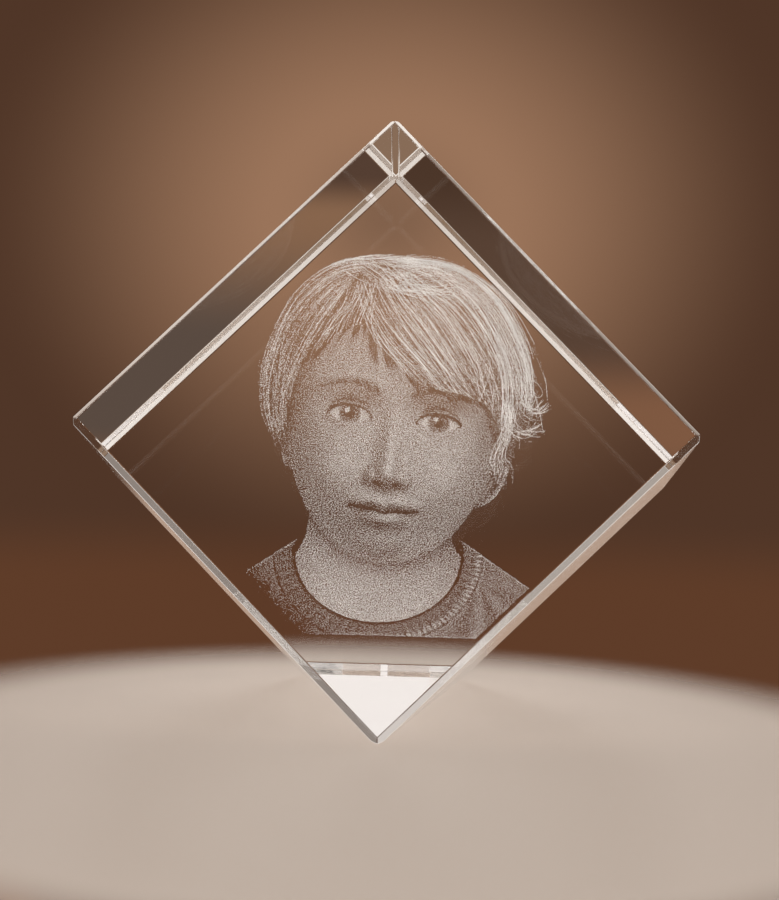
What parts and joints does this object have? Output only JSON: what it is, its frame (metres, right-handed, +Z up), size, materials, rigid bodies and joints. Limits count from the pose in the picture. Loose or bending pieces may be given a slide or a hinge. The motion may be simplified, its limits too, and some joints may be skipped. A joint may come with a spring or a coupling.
{
  "type": "glass photo cube",
  "caption": "Clear glass cube balanced on a cut corner, front face turned like a diamond and leaning back, with a frosted low-relief portrait engraved inside the block.",
  "frame": {"origin": "on the surface it stands on, under the middle of the block's bounding box", "axes": "+Z up from the level foot; +X across the front face to the viewer's right; the viewer looks along +Y at the front face, which leans back about 11 degrees"},
  "size_m": [0.0838, 0.0752, 0.0827],
  "materials": {
    "clear_glass": "polished optical glass, clear and colourless, every edge chamfered and polished",
    "frosted_hair": "fine white engraved points in strands",
    "frosted_skin": "fine white engraved points, evenly scattered",
    "frosted_cloth": "sparse white engraved points"
  },
  "bodies": {
    "root": {"glass_cube": "clear_glass", "engraved_hair": "frosted_hair", "engraved_head": "frosted_skin", "engraved_shirt": "frosted_cloth"}
  },
  "joints": []
}
